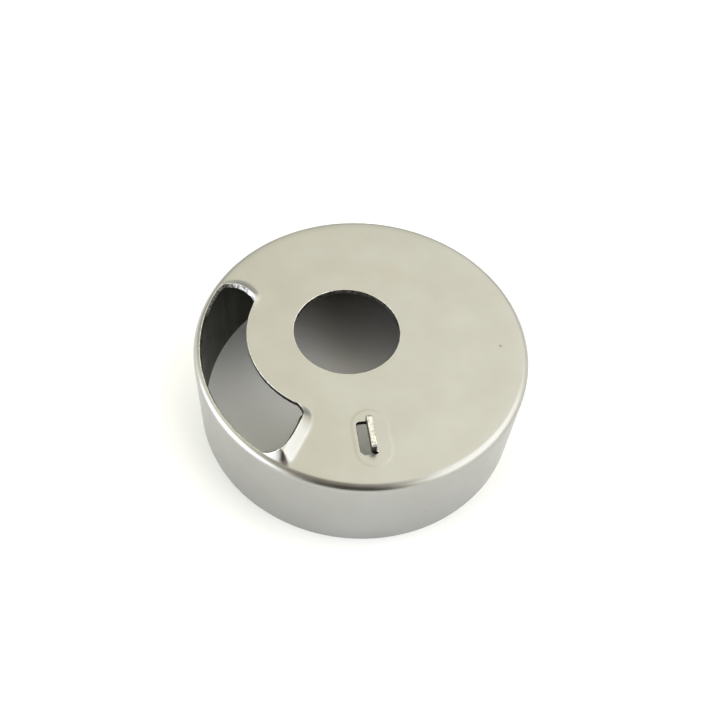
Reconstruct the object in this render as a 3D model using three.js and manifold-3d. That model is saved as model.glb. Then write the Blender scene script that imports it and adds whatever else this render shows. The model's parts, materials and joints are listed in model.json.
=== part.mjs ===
// Bobbin case: one cup drawn and pressed from steel sheet. Millimetres, +Z up, axis of the cup on Z.
// The cup lies open side down: its cut rim is at z = 0 and its flat end is on top.
// The end has an off-centre hole, a crescent window whose two ends are turned up as thread guides,
// and a thread eye: a slot whose lanced tongue stands up beside it, on a faintly raised oval pad.
import * as THREE from 'three';
import { mergeVertices } from 'three/addons/utils/BufferGeometryUtils.js';
import Module from 'manifold-3d';

const wasm = await Module();
wasm.setup();

// Cup
const OUTER_RADIUS = 25;
const HEIGHT = 15.3;
const SHEET = 0.8;
const BEND_RADIUS = 1.1; // outside of the bend between the flat end and the wall
const ROUND_SEGMENTS = 96;
const BEND_SEGMENTS = 5;

// Hole over the bobbin's centre. The window's inner edge and the thread eye are set out from it.
const HOLE_CENTRE = new THREE.Vector2(-2.5, 1.4);
const HOLE_RADIUS = 7.95;
const HOLE_SEGMENTS = 32; // each half circle

// Crescent window. Angles are degrees anticlockwise from +X.
const WINDOW_OUTER_RADIUS = OUTER_RADIUS - SHEET - 0.1; // about the cup's axis
const WINDOW_INNER_RADIUS = 14.75; // about the hole's centre
const WINDOW_SEGMENTS = 24;

// The window's two ends, where the sheet is turned up about a crease as far as a free edge.
// Crease and edge are chains of quadratic curves, as many in the one as in the other. They start at an
// angle on the window's outer edge, pass through the listed control and end points in turn, and end at
// the angle about the hole where the window's inner edge begins.
const UPPER_END = {
  meeting: 166.5,
  rise: 0.9, // of the free edge above the flat end
  rimFade: 3, // distances over which a lip rises from the cup's edge
  cornerFade: 2.6, // and sinks again to the window's inner edge
  crease: {
    start: 159,
    bends: [[-21.5, 9.3], [-20.2, 9.35], [-17.6, 9.2], [-16.25, 6.95], [-15.8, 5.9]],
  },
  edge: {
    start: 163.5,
    bends: [[-22.6, 8.05], [-21.8, 8.1], [-19.4, 7.75], [-17.6, 6.45], [-16.75, 5.7]],
  },
};
const LOWER_END = {
  meeting: 246,
  rise: 1.05,
  rimFade: 1.8,
  cornerFade: 2.6,
  crease: {
    start: 250.8,
    bends: [
      [-7.85, -22.5], [-7.75, -22.2], [-7.5, -21.5], [-7.25, -20.8], [-5.95, -17.05], [-5.67, -15.4],
      [-5.5, -12.9],
    ],
  },
  edge: {
    start: 240,
    bends: [
      [-11.1, -21.1], [-10.4, -21], [-9.4, -20.95], [-8.95, -20.1], [-8.1, -18.8], [-7.2, -15.6],
      [-6.5, -13],
    ],
  },
};
const CURVE_STEPS = 6; // points on each curve
const LEAST_WIDTH = 0.05; // of a lip, where its edge runs into its crease
const LIP_ROOT = 0.5; // how far a lip's solid reaches back into the flat end
const ROOT_COVER = 0.15; // how far inside the sheet's two skins that root stays
const LIP_BURIED = 0.12; // how far it reaches into the bend at the cup's edge

// Thread eye: a tongue lanced on three sides and folded up about the fourth. In the eye's own frame
// +X runs away from the hole and +Y towards the tongue.
const EYE_DISTANCE = 18.85; // from the hole's centre
const EYE_DIRECTION = -76.5;
const EYE_LENGTH = 5.5;
const EYE_WIDTH = 2.6;
const EYE_CORNER = 0.6;
const EYE_CURVE_SEGMENTS = 5;
const TONGUE_HEIGHT = 1.75; // of its top above the flat end
const TONGUE_LENGTH = 4.9;
const TONGUE_GAP = 0.1; // between the tongue and the slot's end near the hole
const TONGUE_BEND = 0.3; // inside radius of the fold at its foot
const TONGUE_BEND_SEGMENTS = 5;
const TONGUE_ROOT = 0.15; // overlap with the slot's edge, where the tongue is one with the sheet
const TONGUE_ROOT_COVER = 0.05;
const TONGUE_CORNER = 0.5; // rounding of its top at the end near the hole
const TONGUE_FAR_CORNER = 0.15;

// The faintly raised oval round the eye
const PAD_OFFSET = 0.7;
const PAD_HALF_LENGTH = 4.75;
const PAD_HALF_WIDTH = 2.8;
const PAD_RISE = 0.07;
const PAD_FLANK = 0.5; // width of its sloping border
const PAD_ROOT = 0.3;
const PAD_SEGMENTS = 16; // each end

const PUNCH_LENGTH = 8;
const CUP_AXIS = new THREE.Vector2(0, 0);
const WELD_DISTANCE = 1e-5;

function polar(centre, radius, degrees) {
  const angle = THREE.MathUtils.degToRad(degrees);
  return new THREE.Vector2(
    centre.x + radius * Math.cos(angle),
    centre.y + radius * Math.sin(angle),
  );
}

// A closed geometry as a solid that can be joined and cut
function toSolid(geometry) {
  const bare = geometry.clone();
  bare.deleteAttribute('normal');
  bare.deleteAttribute('uv');
  const merged = mergeVertices(bare, WELD_DISTANCE);
  const corners = merged.index.array;
  const triangles = [];
  for (let i = 0; i < corners.length; i += 3) {
    const [a, b, c] = corners.slice(i, i + 3);
    if (a !== b && b !== c && c !== a) triangles.push(a, b, c);
  }
  return new wasm.Manifold(new wasm.Mesh({
    numProp: 3,
    vertProperties: new Float32Array(merged.attributes.position.array),
    triVerts: new Uint32Array(triangles),
  }));
}

function toGeometry(solid) {
  const { vertProperties, triVerts } = solid.getMesh();
  const geometry = new THREE.BufferGeometry();
  geometry.setAttribute('position', new THREE.BufferAttribute(new Float32Array(vertProperties), 3));
  geometry.setIndex(new THREE.BufferAttribute(new Uint32Array(triVerts), 1));
  geometry.computeVertexNormals();
  return geometry;
}

// Height of the cup's outer skin at a distance from the axis
function crownHeight(radius) {
  const past = radius - (OUTER_RADIUS - BEND_RADIUS);
  if (past <= 0) return HEIGHT;
  return HEIGHT - BEND_RADIUS + Math.sqrt(BEND_RADIUS ** 2 - past ** 2);
}

function cup() {
  const bendCentre = new THREE.Vector2(OUTER_RADIUS - BEND_RADIUS, HEIGHT - BEND_RADIUS);
  const profile = [new THREE.Vector2(0, HEIGHT - SHEET)];
  for (let i = 0; i <= BEND_SEGMENTS; i += 1) {
    profile.push(polar(bendCentre, BEND_RADIUS - SHEET, 90 - (90 * i) / BEND_SEGMENTS));
  }
  profile.push(new THREE.Vector2(OUTER_RADIUS - SHEET, 0));
  profile.push(new THREE.Vector2(OUTER_RADIUS, 0));
  for (let i = 0; i <= BEND_SEGMENTS; i += 1) {
    profile.push(polar(bendCentre, BEND_RADIUS, (90 * i) / BEND_SEGMENTS));
  }
  profile.push(new THREE.Vector2(0, HEIGHT));
  return toSolid(new THREE.LatheGeometry(profile, ROUND_SEGMENTS).rotateX(Math.PI / 2));
}

// A punch of the given outline that passes right through the end of the cup
function punch(outline, curveSegments) {
  const options = { depth: PUNCH_LENGTH, bevelEnabled: false, curveSegments };
  const geometry = new THREE.ExtrudeGeometry(outline, options);
  return geometry.translate(0, 0, HEIGHT - PUNCH_LENGTH / 2);
}

function holePunch() {
  const circle = new THREE.Shape();
  circle.absarc(HOLE_CENTRE.x, HOLE_CENTRE.y, HOLE_RADIUS, 0, Math.PI);
  circle.absarc(HOLE_CENTRE.x, HOLE_CENTRE.y, HOLE_RADIUS, Math.PI, 2 * Math.PI);
  return toSolid(punch(circle, HOLE_SEGMENTS));
}

// The points of a crease or of a free edge, the same number for both
function windowEndLine({ start, bends }, meeting) {
  const last = polar(HOLE_CENTRE, WINDOW_INNER_RADIUS, meeting);
  const stops = [...bends, [last.x, last.y]];
  const path = new THREE.Path([polar(CUP_AXIS, WINDOW_OUTER_RADIUS, start)]);
  for (let i = 0; i < stops.length; i += 2) {
    path.quadraticCurveTo(...stops[i], ...stops[i + 1]);
  }
  return path.getPoints(CURVE_STEPS);
}

// The window is cut back to the creases; the lips are added to it afterwards
function windowPunch() {
  const upper = windowEndLine(UPPER_END.crease, UPPER_END.meeting);
  const lower = windowEndLine(LOWER_END.crease, LOWER_END.meeting);
  const outline = new THREE.Shape();
  const start = THREE.MathUtils.degToRad(UPPER_END.crease.start);
  const end = THREE.MathUtils.degToRad(LOWER_END.crease.start);
  outline.absarc(CUP_AXIS.x, CUP_AXIS.y, WINDOW_OUTER_RADIUS, start, end);
  lower.slice(1).forEach((point) => outline.lineTo(point.x, point.y));
  const innerStart = THREE.MathUtils.degToRad(LOWER_END.meeting);
  const innerEnd = THREE.MathUtils.degToRad(UPPER_END.meeting);
  outline.absarc(HOLE_CENTRE.x, HOLE_CENTRE.y, WINDOW_INNER_RADIUS, innerStart, innerEnd, true);
  upper.slice(1, -1).reverse().forEach((point) => outline.lineTo(point.x, point.y));
  return toSolid(punch(outline, WINDOW_SEGMENTS));
}

// One cross-section of a lip, as six points: along the top from the root to the free edge, and back
// along the underside
function lipSection(creasePoint, edgePoint, inward, rise) {
  const width = Math.max(edgePoint.clone().sub(creasePoint).dot(inward), LEAST_WIDTH);
  const slope = Math.atan2(rise, width);
  const top = crownHeight(creasePoint.length());
  const at = (distance, above) => {
    const point = creasePoint.clone().addScaledVector(inward, distance);
    return new THREE.Vector3(point.x, point.y, top + above);
  };
  return [
    at(-LIP_ROOT, -ROOT_COVER),
    at(0, 0),
    at(width, rise),
    at(width + SHEET * Math.sin(slope), rise - SHEET * Math.cos(slope)),
    at(SHEET * Math.tan(slope / 2), -SHEET),
    at(-LIP_ROOT, ROOT_COVER - SHEET),
  ];
}

// A closed solid through a row of six-point sections, with its two ends closed by fans about point 4,
// the outside of the fold
function loft(sections) {
  const positions = sections.flat().flatMap((point) => [point.x, point.y, point.z]);
  const count = sections[0].length;
  const index = [];
  for (let s = 0; s < sections.length - 1; s += 1) {
    for (let i = 0; i < count; i += 1) {
      const a = s * count + i;
      const b = s * count + ((i + 1) % count);
      index.push(a, a + count, b, b, a + count, b + count);
    }
  }
  const last = (sections.length - 1) * count;
  [[4, 5, 0], [4, 0, 1], [4, 1, 2], [4, 2, 3]].forEach(([a, b, c]) => {
    index.push(a, b, c, last + a, last + c, last + b);
  });
  const geometry = new THREE.BufferGeometry();
  geometry.setAttribute('position', new THREE.Float32BufferAttribute(positions, 3));
  geometry.setIndex(index);
  return geometry;
}

function lip(end) {
  const crease = windowEndLine(end.crease, end.meeting);
  const edge = windowEndLine(end.edge, end.meeting);
  const last = crease.length - 1;
  const inwards = crease.map((point, i) => {
    const nearest = Math.min(i, last - 1);
    return edge[nearest].clone().sub(crease[nearest]).normalize();
  });
  const sections = crease.map((point, i) => {
    const rising = THREE.MathUtils.smoothstep(point.distanceTo(crease[0]), 0, end.rimFade);
    const sinking = THREE.MathUtils.smoothstep(point.distanceTo(crease[last]), 0, end.cornerFade);
    return lipSection(point, edge[i], inwards[i], end.rise * Math.min(rising, sinking));
  });
  // One more section, moved outwards, buries the lip's end in the bend
  const outward = crease[0].clone().normalize().multiplyScalar(LIP_BURIED);
  const burial = new THREE.Vector3(outward.x, outward.y, -LIP_BURIED);
  sections.unshift(sections[0].map((point) => point.clone().add(burial)));
  // The loft's faces point outwards when the window lies to the left of its path
  const path = crease[1].clone().sub(crease[0]);
  if (path.cross(inwards[0]) < 0) sections.reverse();
  return toSolid(loft(sections));
}

function eyeFrame() {
  const centre = polar(HOLE_CENTRE, EYE_DISTANCE, EYE_DIRECTION);
  return new THREE.Matrix4().makeRotationZ(THREE.MathUtils.degToRad(EYE_DIRECTION)).setPosition(
    centre.x,
    centre.y,
    0,
  );
}

function eyePunch() {
  const x = EYE_LENGTH / 2;
  const y = EYE_WIDTH / 2;
  const outline = new THREE.Shape();
  outline.moveTo(x, y);
  outline.lineTo(-x, y);
  outline.lineTo(-x, -y + EYE_CORNER);
  outline.quadraticCurveTo(-x, -y, -x + EYE_CORNER, -y);
  outline.lineTo(x - EYE_CORNER, -y);
  outline.lineTo(x, -y + EYE_CORNER);
  outline.closePath();
  return toSolid(punch(outline, EYE_CURVE_SEGMENTS).applyMatrix4(eyeFrame()));
}

// The strip that the tongue is trimmed from. Its section across the slot runs from the top, down the
// upright and round the fold, to the root inside the sheet. It is longer and taller than the tongue.
function foldedStrip() {
  const foot = HEIGHT + PAD_RISE;
  const top = HEIGHT + 2 * TONGUE_HEIGHT;
  const edge = EYE_WIDTH / 2;
  const foldCentre = new THREE.Vector2(edge, foot + TONGUE_BEND);
  const under = [];
  const over = [];
  for (let i = 0; i <= TONGUE_BEND_SEGMENTS; i += 1) {
    const turn = 180 + (90 * i) / TONGUE_BEND_SEGMENTS;
    under.push(polar(foldCentre, TONGUE_BEND + SHEET, turn));
    over.unshift(polar(foldCentre, TONGUE_BEND, turn));
  }
  const section = new THREE.Shape([
    new THREE.Vector2(edge - TONGUE_BEND, top),
    new THREE.Vector2(edge - TONGUE_BEND - SHEET, top),
    ...under,
    new THREE.Vector2(edge + TONGUE_ROOT, foot - SHEET + TONGUE_ROOT_COVER),
    new THREE.Vector2(edge + TONGUE_ROOT, foot - TONGUE_ROOT_COVER),
    ...over,
  ]);
  const options = { depth: 2 * EYE_LENGTH, bevelEnabled: false };
  const geometry = new THREE.ExtrudeGeometry(section, options).translate(0, 0, -EYE_LENGTH);
  const acrossSlot = new THREE.Vector3(0, 1, 0);
  const upwards = new THREE.Vector3(0, 0, 1);
  const alongSlot = new THREE.Vector3(1, 0, 0);
  geometry.applyMatrix4(new THREE.Matrix4().makeBasis(acrossSlot, upwards, alongSlot));
  return toSolid(geometry.applyMatrix4(eyeFrame()));
}

// The strip is trimmed to the tongue's length and rounded top corners
function tongue() {
  const near = TONGUE_GAP - EYE_LENGTH / 2;
  const far = near + TONGUE_LENGTH;
  const top = HEIGHT + TONGUE_HEIGHT;
  const outline = new THREE.Shape();
  outline.moveTo(near, HEIGHT - 2 * SHEET);
  outline.lineTo(far, HEIGHT - 2 * SHEET);
  outline.lineTo(far, top - TONGUE_FAR_CORNER);
  outline.quadraticCurveTo(far, top, far - TONGUE_FAR_CORNER, top);
  outline.lineTo(near + TONGUE_CORNER, top);
  outline.quadraticCurveTo(near, top, near, top - TONGUE_CORNER);
  outline.closePath();
  const options = { depth: 2 * EYE_WIDTH, bevelEnabled: false, curveSegments: EYE_CURVE_SEGMENTS };
  const trim = new THREE.ExtrudeGeometry(outline, options).rotateX(Math.PI / 2);
  trim.translate(0, EYE_WIDTH, 0);
  return foldedStrip().intersect(toSolid(trim.applyMatrix4(eyeFrame())));
}

// The raised oval. The same solid, one sheet lower, is the hollow under it.
function pad() {
  const straight = PAD_HALF_LENGTH - PAD_HALF_WIDTH;
  const outline = new THREE.Shape();
  outline.absarc(straight, PAD_OFFSET, PAD_HALF_WIDTH, -Math.PI / 2, Math.PI / 2);
  outline.absarc(-straight, PAD_OFFSET, PAD_HALF_WIDTH, Math.PI / 2, (3 * Math.PI) / 2);
  const geometry = new THREE.ExtrudeGeometry(outline, {
    depth: PAD_ROOT,
    curveSegments: PAD_SEGMENTS,
    bevelThickness: PAD_RISE,
    bevelSize: PAD_FLANK,
    bevelOffset: -PAD_FLANK,
    bevelSegments: 1,
  });
  return toSolid(geometry.translate(0, 0, HEIGHT - PAD_ROOT).applyMatrix4(eyeFrame()));
}

function shell() {
  const raised = pad();
  return cup()
    .subtract(raised.translate([0, 0, -SHEET]))
    .add(raised)
    .subtract(holePunch())
    .subtract(windowPunch())
    .add(lip(UPPER_END))
    .add(lip(LOWER_END))
    .subtract(eyePunch())
    .add(tongue());
}

const steel = new THREE.MeshStandardMaterial({ color: 0xcbc6b8, roughness: 0.35, metalness: 1 });
const shellMesh = new THREE.Mesh(toGeometry(shell()), steel);
shellMesh.name = 'bobbin_case_shell';

const bobbinCase = new THREE.Group();
bobbinCase.add(shellMesh);
export default bobbinCase;
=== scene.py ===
"""A bobbin case: one cup pressed from satin steel sheet, lying open side down on a pale studio floor.

The sheet is built as its outer skin, which is then given its thickness and its cut edges.
Design sizes are in millimetres, in the frame of the CAD part; meshes are in metres.
"""
import json
import math

import bpy
import numpy as np
from mathutils import Matrix, Vector, geometry


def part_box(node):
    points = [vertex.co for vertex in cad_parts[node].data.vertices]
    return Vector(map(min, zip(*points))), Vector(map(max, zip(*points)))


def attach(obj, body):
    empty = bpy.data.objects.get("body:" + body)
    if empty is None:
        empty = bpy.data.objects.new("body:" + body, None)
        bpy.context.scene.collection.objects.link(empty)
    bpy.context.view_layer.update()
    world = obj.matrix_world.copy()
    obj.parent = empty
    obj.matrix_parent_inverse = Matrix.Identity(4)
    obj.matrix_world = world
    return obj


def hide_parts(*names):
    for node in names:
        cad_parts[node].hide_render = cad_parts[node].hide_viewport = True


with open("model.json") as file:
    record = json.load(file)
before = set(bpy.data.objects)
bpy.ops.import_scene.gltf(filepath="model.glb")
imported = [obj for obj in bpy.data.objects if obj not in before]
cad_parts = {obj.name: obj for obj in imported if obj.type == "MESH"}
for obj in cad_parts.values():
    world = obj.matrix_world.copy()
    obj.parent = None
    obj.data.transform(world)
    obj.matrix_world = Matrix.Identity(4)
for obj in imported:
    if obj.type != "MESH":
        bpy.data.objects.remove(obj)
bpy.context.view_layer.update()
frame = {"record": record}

MM = 0.001
NODE = "bobbin_case_shell"
BODY = "root"

# Sizes that the CAD part settles
node_low, node_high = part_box(NODE)
mounts = {mount["name"]: mount for mount in frame["record"]["mounts"]}
OUTER_RADIUS = (node_high.x - node_low.x) / 2 / MM
HEIGHT = mounts["end_face"]["pos_m"][2] / MM
TONGUE_TOP = node_high.z / MM

# Sheet and cup
SHEET = 0.8
BEND_RADIUS = 1.1
FLAT_RADIUS = OUTER_RADIUS - BEND_RADIUS
ROUND_STEPS = 480
ROUND_STEP = 360 / ROUND_STEPS  # degrees
BEND_ROWS = 12
WALL_ROWS = 12
DROOP_START = 22.7  # radius at which the flat end starts to fall away towards the bend
DROOP_RAMP = 1.3  # distance over which it reaches its slope
DROOP_SLOPE = 0.1

# Cut edges: a small round at each skin, and a cut face between
EDGE_ROUND = 0.12
EDGE_ROUND_STEPS = 4
EDGE_FACE_STEPS = 3
BURR_AND_HIGHLIGHT_STEPS = 2  # the steps of the outer round that are burnished and painted bright as a highlight

# Spacing of the points that the flat end is meshed from
SLOT_STEP = 0.2
PAD_LINE_STEP = 0.25
GRID_STEP = 0.75
ARC_STEP = 0.9  # degrees
HOLE_POINTS = 240
HOLE_RING_OFFSET = 0.45
HOLE_RING_STEP = 2.5  # degrees
RIM_RING_INSETS = (0.06, 0.13, 0.2, 0.5, 0.85, 1.2)
RIM_CLEARANCE = 0.03  # every point inside the outlines keeps this far from the rim
LEAST_GAP = 0.055  # and this far from every other point
MERGE_DISTANCE = 1e-6

# Which cut faces are rubbed bright and painted lighter as a highlight, or scuffed with a painted highlight at
# one place
TONGUE_CUT_ABOVE = 0.5  # the tongue's bright ones are this far above the end at least,
TONGUE_CUT_FACING = 0.5  # and this much of their normal at least points up
LIP_CUT_WITHIN = 3  # the lip's scuffed ones are this close to the end's height,
LIP_CUT_RISE = 0.05  # where the lip has risen by this much at least

# Hole and window
AXIS = np.zeros(2)
HOLE_CENTRE = np.array([-2.5, 1.4])
HOLE_RADIUS = 7.95
WINDOW_SETBACK = 0.1  # of the window's outer edge from the inside of the wall
WINDOW_OUTER_RADIUS = OUTER_RADIUS - SHEET - WINDOW_SETBACK
WINDOW_INNER_RADIUS = 14.75
UPPER_START = 163.5  # degrees round the cup's axis where the window's upper edge leaves its rim
LOWER_START = 240
UPPER_CREASE_START = 159.0  # the same where the upper lip's crease crosses the rim
UPPER_CREASE_LEAD = 158.8  # and where that crease starts, outside the wall
LOWER_CREASE_START = 250.8  # the lower lip's crease does both here
CREASE_OVERSHOOT = 0.6  # how far outside the wall both creases start
UPPER_MEETING = 166.5  # degrees round the hole's centre where the inner edge begins
LOWER_MEETING = 246
UPPER_CREASE_MEETING = 172  # the same where the upper lip's crease reaches it
LEVEL_START = 1.05  # the rise at which a wide lip starts to level off
LEVEL_TOP = 1.4  # the rise that it never gets past
LEAST_LIP_WIDTH = 0.05

# Thread eye. In its own frame +u runs away from the hole and +v towards the tongue.
EYE_DISTANCE = 18.85
EYE_DIRECTION = math.radians(-76.5)
EYE_LENGTH = 5.5
EYE_WIDTH = 2.6
EYE_CORNER = 0.6
EYE_CHAMFER = (0.2, 0.3)  # of the slot's corner beyond the tongue's free end
TONGUE_LENGTH = 5.0  # from the slot's end near the hole, so that the slot goes on beyond it
TONGUE_FACE = 1.0  # v of the tongue's face away from the slot
TONGUE_FILLET = EYE_WIDTH / 2 - TONGUE_FACE
TONGUE_CORNER = 0.5
TONGUE_FAR_CORNER = 0.15
TONGUE_COLUMNS = 26
TONGUE_ARC_ROWS = 6
TONGUE_ROWS = 8
PAD_OFFSET = 0.7
PAD_HALF_LENGTH = 4.75
PAD_HALF_WIDTH = 2.8
PAD_RISE = 0.07
PAD_FLANK = 0.5
PAD_LINES = 8
PAD_LINE_MARGIN = 0.12

# Light of the room: its general tint, and soft patches of it, each (azimuth, elevation, how much flatter
# than wide, degrees from its middle to where it starts to fade and to where it has gone, tint)
SKY = (1.57, 1.52, 1.21)
PATCHES = [
    (90, 0, 2.0, 35, 65, (0.8, 0.8, 0.75)),
    (137, 24, 1.0, 8, 22, (0.7, 0.7, 0.66)),
    (45, 50, 1.0, 10, 44, (1.88, 1.84, 1.6)),
    (200, 6, 1.0, 14, 37, (5.0, 5.3, 5.9)),
    (348, 37, 1.0, 20, 45, (2.8, 2.8, 2.72)),
    (262, 56, 1.0, 12, 45, (0.35, 0.3, 0.25)),
    (272, 19, 1.0, 20, 37, (0.02, 0.01, 0.0)),
]

# Camera: its lens, its angles in degrees, and the rest in outer radii of the cup. It aims at a point of the
# floor that lies across (to the right) and along (towards the back) from the cup's axis.
SENSOR_WIDTH = 36
LENS = 43.44
CAMERA_ELEVATION = 53.75
CAMERA_ROLL = 5.787
CAMERA_DISTANCE = 5.8397
AIM_ACROSS = -0.0049
AIM_ALONG = 0.2953

FLOOR_HALF = 3.0  # metres

# Faint marks on the satin, each (centre, radius, strength, tint), in millimetres
MARKS = [
    ((3.5, 13.6, HEIGHT), 2.6, 0.35, (0.36, 0.325, 0.29)),
    ((20.6, 1.4, HEIGHT), 0.35, 0.7, (0.2, 0.18, 0.15)),
    ((11.4, -22.25, 5.8), 0.45, 0.35, (0.22, 0.21, 0.19)),
]
MARK_CORE = 0.3  # share of a mark's radius that has its full strength
NOISE_RANGE = (0.3, 0.7)  # where nearly all of a noise's values lie
PAINTED_HIGHLIGHT_CENTRE = (-16.6, 5.9, HEIGHT + 0.5)  # where the upper lip's cut face has a painted highlight
PAINTED_HIGHLIGHT_RADIUS = 2.1


def polar(centre, radius, degrees):
    angle = np.radians(degrees)
    return np.stack([centre[0] + radius * np.cos(angle), centre[1] + radius * np.sin(angle)], -1)


def smoothstep(x, low, high):
    t = np.clip((x - low) / (high - low), 0, 1)
    return t * t * (3 - 2 * t)


def eased_ramp(x, low, high):
    """A ramp that is nearly straight, with only its two ends eased."""
    straight = 0.65
    return straight * np.clip((x - low) / (high - low), 0, 1) + (1 - straight) * smoothstep(x, low, high)


def unit(vectors):
    return vectors / np.maximum(np.linalg.norm(vectors, axis=-1, keepdims=True), 1e-12)


def bezier(start, control, end, count=24):
    t = np.linspace(0, 1, count + 1)[:, None]
    start, control, end = map(np.asarray, (start, control, end))
    return (1 - t) ** 2 * start + 2 * t * (1 - t) * control + t**2 * end


def resample(points, step):
    """The same line with evenly spaced points."""
    points = np.asarray(points, float)
    lengths = np.r_[0, np.cumsum(np.linalg.norm(np.diff(points, axis=0), axis=1))]
    count = max(2, int(round(lengths[-1] / step)))
    at = np.linspace(0, lengths[-1], count + 1)
    return np.stack([np.interp(at, lengths, points[:, k]) for k in (0, 1)], -1)


class Lip:
    """One end of the window, where the sheet is turned up about a crease as far as a free edge.

    The fold turns to its whole angle, in degrees, over the curved share of its width. Its rise fades out
    towards the window's rim and towards the end where crease and edge meet. The side is 1 where the window
    lies to the left of the crease, and -1 where it lies to the right.
    """

    STEP = 0.22
    MOST_WIDTHS = 3  # the section is worked out this far, in widths of the lip
    SECTION_STEPS = 600
    SHARES = (-0.3, -0.15, 0, 0.15, 0.3, 0.45, 0.58, 0.7, 0.8, 0.88, 0.94)

    def __init__(self, crease, edge, side, angle, curved_share, rim_fade, corner_fade):
        self.crease = resample(crease, self.STEP)
        self.edge = resample(edge, self.STEP)
        self.side = side
        self.rim_fade = rim_fade
        self.corner_fade = corner_fade
        lengths = np.linalg.norm(np.diff(self.crease, axis=0), axis=1)
        self.stations = np.r_[0, np.cumsum(lengths)]
        gaps = np.linalg.norm(self.crease[:, None] - self.edge, axis=2)
        self.widths = np.maximum(gaps.min(1), LEAST_LIP_WIDTH)
        # How far a fold of unit width has risen at each share of that width
        self.shares = np.linspace(0, self.MOST_WIDTHS, self.SECTION_STEPS + 1)
        slopes = np.tan(math.radians(angle) * np.clip(self.shares / curved_share, 0, 1))
        middles = (slopes[1:] + slopes[:-1]) / 2
        self.rises = np.r_[0, np.cumsum(middles * np.diff(self.shares))]

    def locate(self, points):
        """Distance past the crease towards the window, and distance along it from its start by the wall."""
        start, end = self.crease[:-1], self.crease[1:]
        span = end - start
        size = (span**2).sum(1)
        t = np.clip(((points[:, None] - start) * span).sum(2) / size, 0, 1)
        offset = points[:, None] - (start + t[..., None] * span)
        distance = np.linalg.norm(offset, axis=2)
        pick = distance.argmin(1)
        rows = np.arange(len(points))
        offset, t, distance = offset[rows, pick], t[rows, pick], distance[rows, pick]
        cross = span[pick, 0] * offset[:, 1] - span[pick, 1] * offset[:, 0]
        along = self.stations[pick] + t * np.sqrt(size[pick])
        return self.side * np.sign(cross) * distance, along

    def rise(self, points):
        past, along = self.locate(points)
        width = np.interp(along, self.stations, self.widths)
        height = width * np.interp(past / width, self.shares, self.rises)
        # Where the lip is wide, near the rim, it levels off
        over = np.maximum(height - LEVEL_START, 0)
        height = height - over + over / (1 + over / (LEVEL_TOP - LEVEL_START))
        inside_rim = WINDOW_OUTER_RADIUS - np.linalg.norm(points, axis=1)
        height = height * eased_ramp(inside_rim, *self.rim_fade)
        return height * smoothstep(self.stations[-1] - along, 0, self.corner_fade)

    def guide_points(self):
        """Points on lines that follow the crease, closer together towards the free edge."""
        tangent = unit(np.gradient(self.crease, axis=0))
        inward = self.side * np.stack([-tangent[:, 1], tangent[:, 0]], -1)
        return np.concatenate([self.crease + inward * self.widths[:, None] * k for k in self.SHARES])


upper_meeting = polar(HOLE_CENTRE, WINDOW_INNER_RADIUS, UPPER_MEETING)
upper_crease_meeting = polar(HOLE_CENTRE, WINDOW_INNER_RADIUS, UPPER_CREASE_MEETING)
lower_meeting = polar(HOLE_CENTRE, WINDOW_INNER_RADIUS, LOWER_MEETING)
upper_lip = Lip(
    crease=[
        polar(AXIS, OUTER_RADIUS + CREASE_OVERSHOOT, UPPER_CREASE_LEAD),
        *bezier(polar(AXIS, WINDOW_OUTER_RADIUS, UPPER_CREASE_START), (-21.5, 9.3), (-20.2, 9.35), 12),
        *bezier((-20.2, 9.35), (-17.6, 9.2), (-16.25, 6.95))[1:],
        *bezier((-16.25, 6.95), (-15.6, 5.2), upper_crease_meeting, 12)[1:],
    ],
    edge=[
        *bezier(polar(AXIS, WINDOW_OUTER_RADIUS, UPPER_START), (-22.6, 8.12), (-21.95, 8.15), 12),
        *bezier((-21.95, 8.15), (-19.3, 7.85), (-17.6, 6.5))[1:],
        *bezier((-17.6, 6.5), (-16.75, 5.8), upper_meeting, 12)[1:],
    ],
    side=-1,
    angle=35,
    curved_share=0.6,
    rim_fade=(0.0, 2.5),
    corner_fade=3.8,
)
lower_lip = Lip(
    crease=[
        polar(AXIS, OUTER_RADIUS + CREASE_OVERSHOOT, LOWER_CREASE_START),
        polar(AXIS, WINDOW_OUTER_RADIUS, LOWER_CREASE_START),
        *bezier((-6.0, -17.2), (-5.1, -14.3), (-6.6, -13.1)),
        *bezier((-6.6, -13.1), (-7.3, -12.5), lower_meeting, 12)[1:],
    ],
    edge=[
        *bezier(polar(AXIS, WINDOW_OUTER_RADIUS, LOWER_START), (-11.1, -21.1), (-10.4, -21.0), 12),
        *bezier((-10.4, -21.0), (-9.4, -20.95), (-8.95, -20.1), 12)[1:],
        *bezier((-8.95, -20.1), (-8.1, -18.8), (-7.2, -15.6))[1:],
        *bezier((-7.2, -15.6), (-6.5, -13.35), lower_meeting)[1:],
    ],
    side=1,
    angle=40,
    curved_share=0.25,
    rim_fade=(0.0, 1.3),
    corner_fade=3.8,
)

eye_centre = polar(HOLE_CENTRE, EYE_DISTANCE, math.degrees(EYE_DIRECTION))
eye_u = np.array([math.cos(EYE_DIRECTION), math.sin(EYE_DIRECTION)])
eye_v = np.array([-eye_u[1], eye_u[0]])


def from_eye(points):
    points = np.asarray(points, float)
    return eye_centre + points[..., :1] * eye_u + points[..., 1:2] * eye_v


def to_eye(points):
    offset = points - eye_centre
    return np.stack([offset @ eye_u, offset @ eye_v], -1)


def pad_height(points):
    """The faintly raised oval round the thread eye."""
    local = to_eye(points)
    beyond = np.maximum(np.abs(local[:, 0]) - (PAD_HALF_LENGTH - PAD_HALF_WIDTH), 0)
    reach = np.hypot(beyond, local[:, 1] - PAD_OFFSET)
    return PAD_RISE * smoothstep(PAD_HALF_WIDTH - reach, 0, PAD_FLANK)


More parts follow.
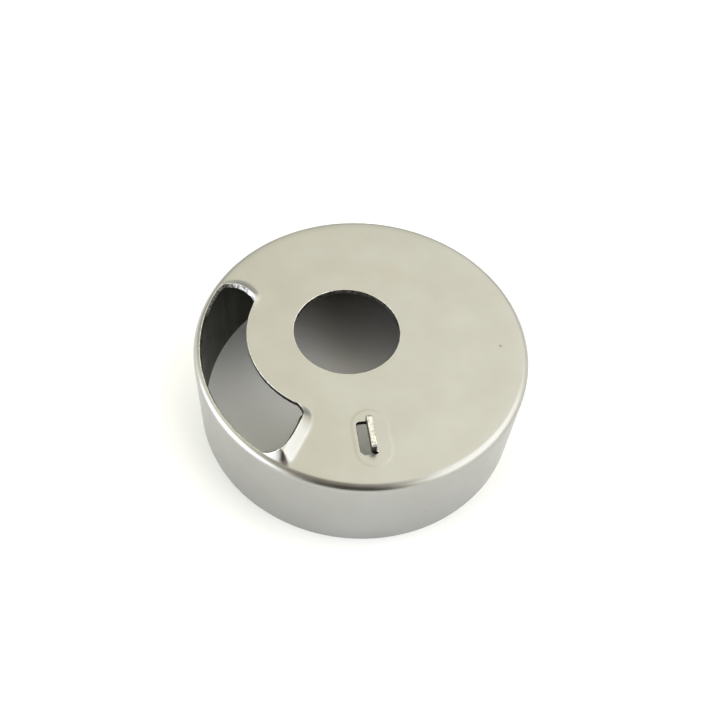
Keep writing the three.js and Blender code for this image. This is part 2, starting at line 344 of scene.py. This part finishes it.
def pad_outline(inset):
    """An outline that keeps the given distance inside the oval's own."""
    straight, radius = PAD_HALF_LENGTH - PAD_HALF_WIDTH, PAD_HALF_WIDTH - inset
    turn = np.linspace(-math.pi / 2, math.pi / 2, 30)
    end = np.stack([straight + radius * np.cos(turn), radius * np.sin(turn)], -1)
    return resample(np.concatenate([end, -end, end[:1]]), PAD_LINE_STEP) + (0, PAD_OFFSET)


def edge_droop(radius):
    """How far the flat end falls away as it nears the bend."""
    past, ramp = radius - DROOP_START, DROOP_RAMP
    return DROOP_SLOPE * np.where(past < ramp, np.maximum(past, 0) ** 2 / (2 * ramp), past - ramp / 2)


def skin_height(points):
    """Height of the outer skin over a point of the plan, from the cup's axis to the bend."""
    radius = np.linalg.norm(points, axis=1)
    past = np.maximum(radius - FLAT_RADIUS, 0)
    crown = HEIGHT - BEND_RADIUS + np.sqrt(BEND_RADIUS**2 - past**2)
    lips = upper_lip.rise(points) + lower_lip.rise(points)
    return crown - edge_droop(radius) + pad_height(points) + lips


def inside(points, loop):
    """Which points lie inside a closed outline."""
    result = np.zeros(len(points), bool)
    x, y = points[:, 0], points[:, 1]
    for (ax, ay), (bx, by) in zip(loop, np.roll(loop, -1, axis=0)):
        if ay == by:
            continue
        crosses = (ay > y) != (by > y)
        result ^= crosses & (x < (bx - ax) * (y - ay) / (by - ay) + ax)
    return result


def hexagonal_grid(radius, step):
    tall = math.sqrt(3) / 2
    rows = int(radius / (step * tall)) + 1
    columns = int(radius / step) + 1
    points = [
        ((i + 0.5 * (j % 2)) * step, j * step * tall)
        for j in range(-rows, rows + 1)
        for i in range(-columns, columns + 1)
    ]
    return np.array(points)


def thinned(fixed, loose, gap):
    """The loose points that keep a gap to the fixed ones and to each other, first come first kept."""
    cells = {}

    def near(point):
        cx, cy = int(point[0] // gap), int(point[1] // gap)
        for i in (cx - 1, cx, cx + 1):
            for j in (cy - 1, cy, cy + 1):
                for other in cells.get((i, j), ()):
                    if (other[0] - point[0]) ** 2 + (other[1] - point[1]) ** 2 < gap * gap:
                        return True
        return False

    def keep(point):
        cells.setdefault((int(point[0] // gap), int(point[1] // gap)), []).append(point)

    for point in fixed:
        keep(tuple(point))
    kept = []
    for point in map(tuple, loose):
        if not near(point):
            keep(point)
            kept.append(point)
    return np.array(kept)


class Skin:
    """The outer skin of the sheet, as points in millimetres and faces that are anticlockwise from outside."""

    def __init__(self):
        self.points = np.zeros((0, 3))
        self.faces = []

    def add(self, points):
        first = len(self.points)
        self.points = np.concatenate([self.points, points])
        return np.arange(first, len(self.points))

    def strip(self, near, far, closed=False):
        """Quads between two rows of points; their outside is on the left going from near to far."""
        count = len(near)
        for k in range(count if closed else count - 1):
            following = (k + 1) % count
            self.faces.append((near[k], far[k], far[following], near[following]))


def end_outline(rim):
    """The rim of the flat end and, where the window interrupts it, the window's lips and inner edge."""
    arc_steps = int((LOWER_MEETING - UPPER_MEETING) / ARC_STEP)
    arc = polar(HOLE_CENTRE, WINDOW_INNER_RADIUS + EDGE_ROUND,
                np.linspace(UPPER_MEETING, LOWER_MEETING, arc_steps + 1))
    return np.concatenate([rim, upper_lip.edge[1:-1], arc, lower_lip.edge[-2:0:-1]])


def slot_outline():
    """The tongue's hinge, and the whole outline of the slot, which starts with that hinge."""
    half_length, half_width = EYE_LENGTH / 2, EYE_WIDTH / 2
    chamfer_u, chamfer_v = EYE_CHAMFER
    hinge_u = np.linspace(-half_length, TONGUE_LENGTH - half_length, TONGUE_COLUMNS + 1)
    hinge = np.stack([hinge_u, np.full_like(hinge_u, half_width)], -1)
    corner_start = (EYE_CORNER - half_length, -half_width)
    corner_end = (-half_length, EYE_CORNER - half_width)
    cut = resample(
        [
            hinge[-1],
            (half_length - chamfer_u, half_width),
            (half_length, half_width - chamfer_v),
            (half_length, EYE_CORNER - half_width),
            (half_length - EYE_CORNER, -half_width),
            *bezier(corner_start, (-half_length, -half_width), corner_end, 5),
            (-half_length, half_width),
        ],
        SLOT_STEP,
    )
    return from_eye(hinge), from_eye(np.concatenate([hinge, cut[1:-1]]))


def filling_points(rim_angles):
    """Points along the lips, the pad's flank, the rim and the hole, and then an even grid."""
    groups = [upper_lip.guide_points(), lower_lip.guide_points()]
    for inset in np.linspace(-PAD_LINE_MARGIN, PAD_FLANK + PAD_LINE_MARGIN, PAD_LINES):
        groups.append(from_eye(pad_outline(inset)))
    for inset in RIM_RING_INSETS:
        groups.append(polar(AXIS, WINDOW_OUTER_RADIUS - inset, rim_angles))
    groups.append(polar(HOLE_CENTRE, HOLE_RADIUS + HOLE_RING_OFFSET, np.arange(0, 360, HOLE_RING_STEP)))
    groups.append(hexagonal_grid(OUTER_RADIUS, GRID_STEP))
    return np.concatenate(groups)


def flat_end(skin):
    """The end of the cup as far as its bend, with its hole, window, lips, pad and slot.

    It gives back the skin's points on the rim, by their step round the cup, and those on the tongue's hinge.
    """
    first = round(LOWER_START / ROUND_STEP)
    last = round(UPPER_START / ROUND_STEP) + ROUND_STEPS
    rim_steps = np.arange(first, last + 1)
    rim = polar(AXIS, WINDOW_OUTER_RADIUS, rim_steps * ROUND_STEP)
    outline = end_outline(rim)
    hole = polar(HOLE_CENTRE, HOLE_RADIUS + EDGE_ROUND, np.linspace(360, 0, HOLE_POINTS + 1)[:-1])
    hinge, eye = slot_outline()
    loops = [outline, hole, eye]

    def on_sheet(points):
        return inside(points, outline) & ~inside(points, hole) & ~inside(points, eye)

    fixed = np.concatenate(loops)
    loose = filling_points(rim_steps * ROUND_STEP)
    loose = loose[np.linalg.norm(loose, axis=1) < WINDOW_OUTER_RADIUS - RIM_CLEARANCE]
    plan = np.concatenate([fixed, thinned(fixed, loose[on_sheet(loose)], LEAST_GAP)])

    edges, start = [], 0
    for loop in loops:
        edges += [(start + k, start + (k + 1) % len(loop)) for k in range(len(loop))]
        start += len(loop)
    made = geometry.delaunay_2d_cdt([Vector(p) for p in plan], edges, [], 0, MERGE_DISTANCE)
    source = [origins[0] for origins in made[3]]
    triangles = np.array([[source[v] for v in face] for face in made[2]])
    triangles = triangles[on_sheet(plan[triangles].mean(1))]

    index = skin.add(np.column_stack([plan, skin_height(plan)]))
    skin.faces += [tuple(index[t]) for t in triangles]
    rim_index = dict(zip(rim_steps % ROUND_STEPS, index[: len(rim)]))
    hinge_start = len(outline) + len(hole)
    return rim_index, index[hinge_start : hinge_start + len(hinge)]


def bend_and_wall(skin, rim_index):
    """The bend and the wall, from the window's outer edge down to the rim of the cup."""
    start = math.asin((WINDOW_OUTER_RADIUS - FLAT_RADIUS) / BEND_RADIUS)
    bend = np.linspace(start, math.pi / 2, BEND_ROWS + 1)
    bend_radii = FLAT_RADIUS + BEND_RADIUS * np.sin(bend)
    bend_heights = HEIGHT - BEND_RADIUS + BEND_RADIUS * np.cos(bend) - edge_droop(bend_radii)
    wall_radii = [OUTER_RADIUS] * WALL_ROWS
    wall_heights = np.linspace(bend_heights[-1], EDGE_ROUND, WALL_ROWS + 1)[1:]
    previous = None
    for radius, height in zip([*bend_radii, *wall_radii], [*bend_heights, *wall_heights]):
        ring = polar(AXIS, radius, np.arange(ROUND_STEPS) * ROUND_STEP)
        ring = np.column_stack([ring, np.full(ROUND_STEPS, height)])
        if previous is None:
            free = [k for k in range(ROUND_STEPS) if k not in rim_index]
            made = dict(zip(free, skin.add(ring[free])))
            row = np.array([rim_index[k] if k in rim_index else made[k] for k in range(ROUND_STEPS)])
        else:
            row = skin.add(ring)
            skin.strip(previous, row, closed=True)
        previous = row


def tongue(skin, hinge):
    """The tongue that stands up along the slot: a fillet from its hinge, and its face up to a free edge."""
    first = -EYE_LENGTH / 2
    u = np.linspace(first, first + TONGUE_LENGTH, TONGUE_COLUMNS + 1)
    into_corner = np.clip(TONGUE_CORNER - (u - first), 0, TONGUE_CORNER)
    top = TONGUE_TOP - EDGE_ROUND - TONGUE_CORNER + np.sqrt(TONGUE_CORNER**2 - into_corner**2)
    into_corner = np.clip(TONGUE_FAR_CORNER - (first + TONGUE_LENGTH - u), 0, TONGUE_FAR_CORNER)
    top = top - TONGUE_FAR_CORNER + np.sqrt(TONGUE_FAR_CORNER**2 - into_corner**2)

    foot = HEIGHT + PAD_RISE
    rows = []
    for turn in np.linspace(0, math.pi / 2, TONGUE_ARC_ROWS + 1)[1:]:
        v = TONGUE_FACE + TONGUE_FILLET * (1 - math.sin(turn))
        rows.append((v, np.full_like(u, foot + TONGUE_FILLET * (1 - math.cos(turn)))))
    for share in np.linspace(0, 1, TONGUE_ROWS + 1)[1:]:
        rows.append((TONGUE_FACE, foot + TONGUE_FILLET + share * (top - foot - TONGUE_FILLET)))
    previous = hinge
    for v, height in rows:
        plan = from_eye(np.stack([u, np.full_like(u, v)], -1))
        row = skin.add(np.column_stack([plan, height]))
        skin.strip(previous, row)
        previous = row


def skin_normals(points, faces):
    normals = np.zeros_like(points)
    for size in (3, 4):
        group = np.array([face for face in faces if len(face) == size])
        corners = points[group]
        area = np.cross(corners[:, 1] - corners[:, 0], corners[:, 2] - corners[:, 0])
        if size == 4:
            area = area + np.cross(corners[:, 2] - corners[:, 0], corners[:, 3] - corners[:, 0])
        for k in range(size):
            np.add.at(normals, group[:, k], area)
    return unit(normals)


def boundary_of(faces):
    """The free edges, each as (from, to) with the sheet on its left."""
    edges = [(a, b) for face in faces for a, b in zip(face, face[1:] + face[:1])]
    known = set(edges)
    return [(a, b) for a, b in edges if (b, a) not in known]


def edge_profile():
    """The section of a cut edge between the two skins, in rows.

    Each row is (distance outward, depth below the outer skin, share of the normal that is the outer skin's).
    """
    turns = np.linspace(0, math.pi / 2, EDGE_ROUND_STEPS + 1)[1:]
    quarter = [(math.sin(t), 1 - math.cos(t), math.cos(t)) for t in turns]
    rows = [(EDGE_ROUND * out, EDGE_ROUND * deep, lean) for out, deep, lean in quarter]
    for share in np.linspace(0, 1, EDGE_FACE_STEPS + 1)[1:-1]:
        rows.append((EDGE_ROUND, EDGE_ROUND + share * (SHEET - 2 * EDGE_ROUND), 0.0))
    rows += [(EDGE_ROUND * out, SHEET - EDGE_ROUND * deep, -lean) for out, deep, lean in reversed(quarter)]
    return rows


def sorted_cut_faces(points, cut_faces):
    """The cut faces in three groups: the plain ones, the tongue's upper ones and the upper lip's."""
    corners = points[np.array(cut_faces)]
    centres = corners.mean(1)
    plan, height = centres[:, :2], centres[:, 2]
    facing = unit(np.cross(corners[:, 2] - corners[:, 0], corners[:, 3] - corners[:, 1]))
    on_tongue = (np.linalg.norm(to_eye(plan), axis=1) < EYE_LENGTH) & (height > HEIGHT + TONGUE_CUT_ABOVE)
    on_tongue &= facing[:, 2] > TONGUE_CUT_FACING
    on_lip = (np.abs(height - HEIGHT) < LIP_CUT_WITHIN) & (upper_lip.rise(plan) > LIP_CUT_RISE) & ~on_tongue
    groups = ~(on_tongue | on_lip), on_tongue, on_lip
    return [[face for face, here in zip(cut_faces, group) if here] for group in groups]


def thicken(skin):
    """The skin given its inner side and its rounded cut edges, as points, faces and normals.

    The faces come in the order of the materials: outside, inside with painted shade, cut with painted shade,
    burnished with a painted highlight, and scuffed with a painted highlight.
    """
    points, faces = skin.points, skin.faces
    normals = skin_normals(points, faces)
    count = len(points)
    all_points = [points, points - SHEET * normals]
    all_normals = [normals, -normals]
    inner_faces = [tuple(count + v for v in reversed(face)) for face in faces]

    free = boundary_of(faces)
    following = dict(free)
    preceding = {b: a for a, b in free}
    border = np.array(sorted(following))
    after = np.array([following[v] for v in border])
    before = np.array([preceding[v] for v in border])
    up = normals[border]
    tangent = unit(unit(points[after] - points[border]) + unit(points[border] - points[before]))
    outward = unit(np.cross(tangent, up))

    position = {v: k for k, v in enumerate(border)}
    index_rows = [dict(zip(border, border))]
    first = 2 * count
    for out, deep, lean in edge_profile():
        all_points.append(points[border] + out * outward - deep * up)
        all_normals.append(unit(lean * up + math.sqrt(max(1 - lean**2, 0)) * outward))
        index_rows.append({v: first + position[v] for v in border})
        first += len(border)
    index_rows.append({v: count + v for v in border})
    bands = [
        [(upper[b], upper[a], lower[a], lower[b]) for a, b in free]
        for upper, lower in zip(index_rows, index_rows[1:])
    ]

    all_points = np.concatenate(all_points)
    burr_and_highlight_faces = sum(bands[:BURR_AND_HIGHLIGHT_STEPS], [])
    cut_faces, tongue_faces, lip_faces = sorted_cut_faces(all_points, sum(bands[BURR_AND_HIGHLIGHT_STEPS:], []))
    sides = faces, inner_faces, cut_faces, burr_and_highlight_faces + tongue_faces, lip_faces
    return all_points, sides, np.concatenate(all_normals)


def build_sheet(name):
    skin = Skin()
    rim_index, hinge = flat_end(skin)
    bend_and_wall(skin, rim_index)
    tongue(skin, hinge)
    points, sides, normals = thicken(skin)
    mesh = bpy.data.meshes.new(name)
    mesh.from_pydata((points * MM).tolist(), [], [tuple(map(int, f)) for side in sides for f in side])
    mesh.polygons.foreach_set("use_smooth", [True] * len(mesh.polygons))
    mesh.polygons.foreach_set("material_index", [k for k, side in enumerate(sides) for _ in side])
    mesh.normals_split_custom_set_from_vertices(normals.tolist())
    mesh.validate()
    piece = bpy.data.objects.new(name, mesh)
    bpy.context.scene.collection.objects.link(piece)
    return piece


def noise(tree, scale, detail, stretch=(1, 1, 1)):
    """Noise over the piece itself; its scale is in marks per metre."""
    place = tree.nodes.new("ShaderNodeTexCoord").outputs["Object"]
    mapping = tree.nodes.new("ShaderNodeMapping")
    mapping.inputs["Scale"].default_value = stretch
    tree.links.new(place, mapping.inputs["Vector"])
    texture = tree.nodes.new("ShaderNodeTexNoise")
    texture.inputs["Scale"].default_value = scale
    texture.inputs["Detail"].default_value = detail
    tree.links.new(mapping.outputs[0], texture.inputs["Vector"])
    return texture.outputs[0]


def ranged(tree, value, source, target=(0, 1), interpolation="LINEAR"):
    """A value taken from one range to another, and kept inside it."""
    node = tree.nodes.new("ShaderNodeMapRange")
    node.interpolation_type = interpolation
    for name, number in zip(("From Min", "From Max", "To Min", "To Max"), (*source, *target)):
        node.inputs[name].default_value = number
    tree.links.new(value, node.inputs["Value"])
    return node.outputs[0]


def blended(tree, share, first, second):
    """A mix of two colours; the first is either a colour or another node's output."""
    node = tree.nodes.new("ShaderNodeMix")
    node.data_type = "RGBA"
    tree.links.new(share, node.inputs[0])
    if isinstance(first, tuple):
        node.inputs[6].default_value = (*first, 1)
    else:
        tree.links.new(first, node.inputs[6])
    node.inputs[7].default_value = (*second, 1)
    return node.outputs[2]


def vector_math(tree, operation, vector, other=(0, 0, 0)):
    node = tree.nodes.new("ShaderNodeVectorMath")
    node.operation = operation
    node.inputs[1].default_value = other
    tree.links.new(vector, node.inputs[0])
    return node


def spot(tree, centre, radius, strength=1):
    """A soft round mark about a point of the piece, in millimetres."""
    place = tree.nodes.new("ShaderNodeTexCoord").outputs["Object"]
    distance = vector_math(tree, "DISTANCE", place, [MM * value for value in centre])
    return ranged(tree, distance.outputs["Value"], (radius * MM, radius * MM * MARK_CORE), (0, strength))


def bumped(tree, shader, height, depth):
    """Relief on the surface; its depth is in millimetres."""
    bump = tree.nodes.new("ShaderNodeBump")
    bump.inputs["Distance"].default_value = depth * MM
    tree.links.new(height, bump.inputs["Height"])
    tree.links.new(bump.outputs[0], shader.inputs["Normal"])


def steel(name):
    material = bpy.data.materials.new(name)
    material.use_nodes = True
    tree = material.node_tree
    shader = tree.nodes["Principled BSDF"]
    shader.inputs["Metallic"].default_value = 1.0
    return material, tree, shader


def surfaced(tree, shader, colour, rough):
    tree.links.new(colour, shader.inputs["Base Color"])
    tree.links.new(rough, shader.inputs["Roughness"])


def satin_steel():
    """The outside: a fine satin, a little cloudy, with a few faint marks of handling."""
    material, tree, shader = steel("satin_steel")
    cloud = ranged(tree, noise(tree, 130, 3), NOISE_RANGE)
    colour = blended(tree, cloud, (0.353, 0.349, 0.334), (0.379, 0.378, 0.368))
    tarnish = ranged(tree, noise(tree, 330, 4), (0.55, 0.78), (0, 0.35))
    colour = blended(tree, tarnish, colour, (0.362, 0.335, 0.305))
    for centre, radius, strength, tint in MARKS:
        colour = blended(tree, spot(tree, centre, radius, strength), colour, tint)
    surfaced(tree, shader, colour, ranged(tree, noise(tree, 420, 5), NOISE_RANGE, (0.275, 0.325)))
    bumped(tree, shader, noise(tree, 3600, 3, (1, 1, 0.3)), 0.0016)
    return material


def inner_steel_painted_shade():
    """The inside, painted dark for the shade inside the cup, and streaked down the wall by the drawing of the
    cup.
    """
    material, tree, shader = steel("inner_steel_painted_shade")
    streaks = ranged(tree, noise(tree, 900, 4, (1, 1, 0.08)), NOISE_RANGE)
    # Painted shade: the inside is coloured far darker than the outside, for the shade inside the closed cup.
    colour = blended(tree, streaks, (0.08, 0.081, 0.066), (0.12, 0.121, 0.104))
    surfaced(tree, shader, colour, ranged(tree, noise(tree, 300, 3), NOISE_RANGE, (0.36, 0.46)))
    bumped(tree, shader, noise(tree, 1500, 3, (1, 1, 0.1)), 0.003)
    return material


def sheared_steel_and_painted_shade():
    """The cut faces, torn into short dark streaks through the thickness of the sheet, and painted darker for
    the shade along the cut edges.
    """
    material, tree, shader = steel("sheared_steel_and_painted_shade")
    torn = noise(tree, 2600, 4, (1, 1, 0.2))
    # Painted shade: the dark end of these streaks is darker than cut steel, and stands for shadow along the
    # cut edges.
    colour = blended(tree, ranged(tree, torn, (0.35, 0.65)), (0.05, 0.048, 0.042), (0.2, 0.195, 0.185))
    surfaced(tree, shader, colour, ranged(tree, torn, NOISE_RANGE, (0.5, 0.36)))
    bumped(tree, shader, torn, 0.02)
    return material


def burnished_steel_and_painted_highlight():
    """The arris of each cut edge and the tongue's upper face, rubbed bright but not evenly, and painted
    lighter still as a highlight.
    """
    material, tree, shader = steel("burnished_steel_and_painted_highlight")
    rub = noise(tree, 2400, 4)
    # Painted highlight: the light end of this colour is brighter than rubbed steel, and stands for bright
    # lines of light along the edges.
    colour = blended(tree, ranged(tree, rub, (0.32, 0.6)), (0.34, 0.33, 0.31), (0.66, 0.655, 0.64))
    surfaced(tree, shader, colour, ranged(tree, rub, NOISE_RANGE, (0.42, 0.26)))
    bumped(tree, shader, rub, 0.02)
    return material


def scuffed_steel_and_painted_highlight():
    """The upper lip's cut face, coarsely speckled, with a painted highlight at one place."""
    material, tree, shader = steel("scuffed_steel_and_painted_highlight")
    speckle = noise(tree, 3000, 5)
    colour = blended(tree, ranged(tree, speckle, (0.4, 0.62)), (0.12, 0.115, 0.105), (0.52, 0.51, 0.49))
    # Painted highlight: a near-white spot on the upper lip's cut face, for the light it catches near the rim.
    colour = blended(tree, spot(tree, PAINTED_HIGHLIGHT_CENTRE, PAINTED_HIGHLIGHT_RADIUS), colour, (0.9, 0.89, 0.87))
    surfaced(tree, shader, colour, ranged(tree, speckle, NOISE_RANGE, (0.62, 0.42)))
    bumped(tree, shader, speckle, 0.04)
    return material


def make_floor():
    mesh = bpy.data.meshes.new("floor")
    corners = [(x * FLOOR_HALF, y * FLOOR_HALF, 0) for x, y in ((-1, -1), (1, -1), (1, 1), (-1, 1))]
    mesh.from_pydata(corners, [], [(0, 1, 2, 3)])
    floor = bpy.data.objects.new("floor", mesh)
    bpy.context.scene.collection.objects.link(floor)
    material = bpy.data.materials.new("pale_floor")
    material.use_nodes = True
    shader = material.node_tree.nodes["Principled BSDF"]
    shader.inputs["Base Color"].default_value = (0.96, 0.975, 1.0, 1)
    shader.inputs["Roughness"].default_value = 0.9
    shader.inputs["Specular IOR Level"].default_value = 0.1
    mesh.materials.append(material)


def make_camera():
    """The camera looks down at the case from the front, close, and turned a little about its own axis."""
    elevation, roll = math.radians(CAMERA_ELEVATION), math.radians(CAMERA_ROLL)
    forward = Vector((0, math.cos(elevation), -math.sin(elevation)))
    right = Vector((1, 0, 0))
    up = right.cross(forward)
    turned_right = math.cos(roll) * right + math.sin(roll) * up
    turned_up = -math.sin(roll) * right + math.cos(roll) * up
    data = bpy.data.cameras.new("camera")
    data.sensor_width = SENSOR_WIDTH
    data.lens = LENS
    camera = bpy.data.objects.new("camera", data)
    aim = Vector((AIM_ACROSS * OUTER_RADIUS * MM, AIM_ALONG * OUTER_RADIUS * MM, 0))
    place = aim - forward * (CAMERA_DISTANCE * OUTER_RADIUS * MM)
    axes = Matrix((turned_right, turned_up, -forward)).transposed()
    camera.matrix_world = Matrix.Translation(place) @ axes.to_4x4()
    bpy.context.scene.collection.objects.link(camera)
    bpy.context.scene.camera = camera


def make_world():
    """A bright room: a window on the left, a soft light on the right, and someone standing in front."""
    world = bpy.data.worlds.new("studio")
    world.use_nodes = True
    tree = world.node_tree
    direction = tree.nodes.new("ShaderNodeTexCoord").outputs["Generated"]
    colour = SKY
    for azimuth, elevation, squeeze, inner, outer, tint in PATCHES:
        azimuth, elevation, inner, outer = map(math.radians, (azimuth, elevation, inner, outer))
        flat = vector_math(tree, "MULTIPLY", direction, (1, 1, squeeze))
        even = vector_math(tree, "NORMALIZE", flat.outputs[0])
        towards = Vector((
            math.cos(elevation) * math.cos(azimuth),
            math.cos(elevation) * math.sin(azimuth),
            math.sin(elevation) * squeeze,
        ))
        closeness = vector_math(tree, "DOT_PRODUCT", even.outputs[0], towards.normalized())
        reach = (math.cos(outer), math.cos(inner))
        share = ranged(tree, closeness.outputs["Value"], reach, interpolation="SMOOTHSTEP")
        colour = blended(tree, share, colour, tint)
    # Seen straight from the camera, behind the floor's far edge, the room is plain
    seen = tree.nodes.new("ShaderNodeLightPath").outputs["Is Camera Ray"]
    tree.links.new(blended(tree, seen, colour, SKY), tree.nodes["Background"].inputs["Color"])
    bpy.context.scene.world = world
    bpy.context.scene.view_settings.view_transform = "Standard"


make_camera()
case = build_sheet("bobbin_case_sheet")
for make in (satin_steel, inner_steel_painted_shade, sheared_steel_and_painted_shade, burnished_steel_and_painted_highlight, scuffed_steel_and_painted_highlight):
    case.data.materials.append(make())
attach(case, BODY)
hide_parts(NODE)
make_floor()
make_world()
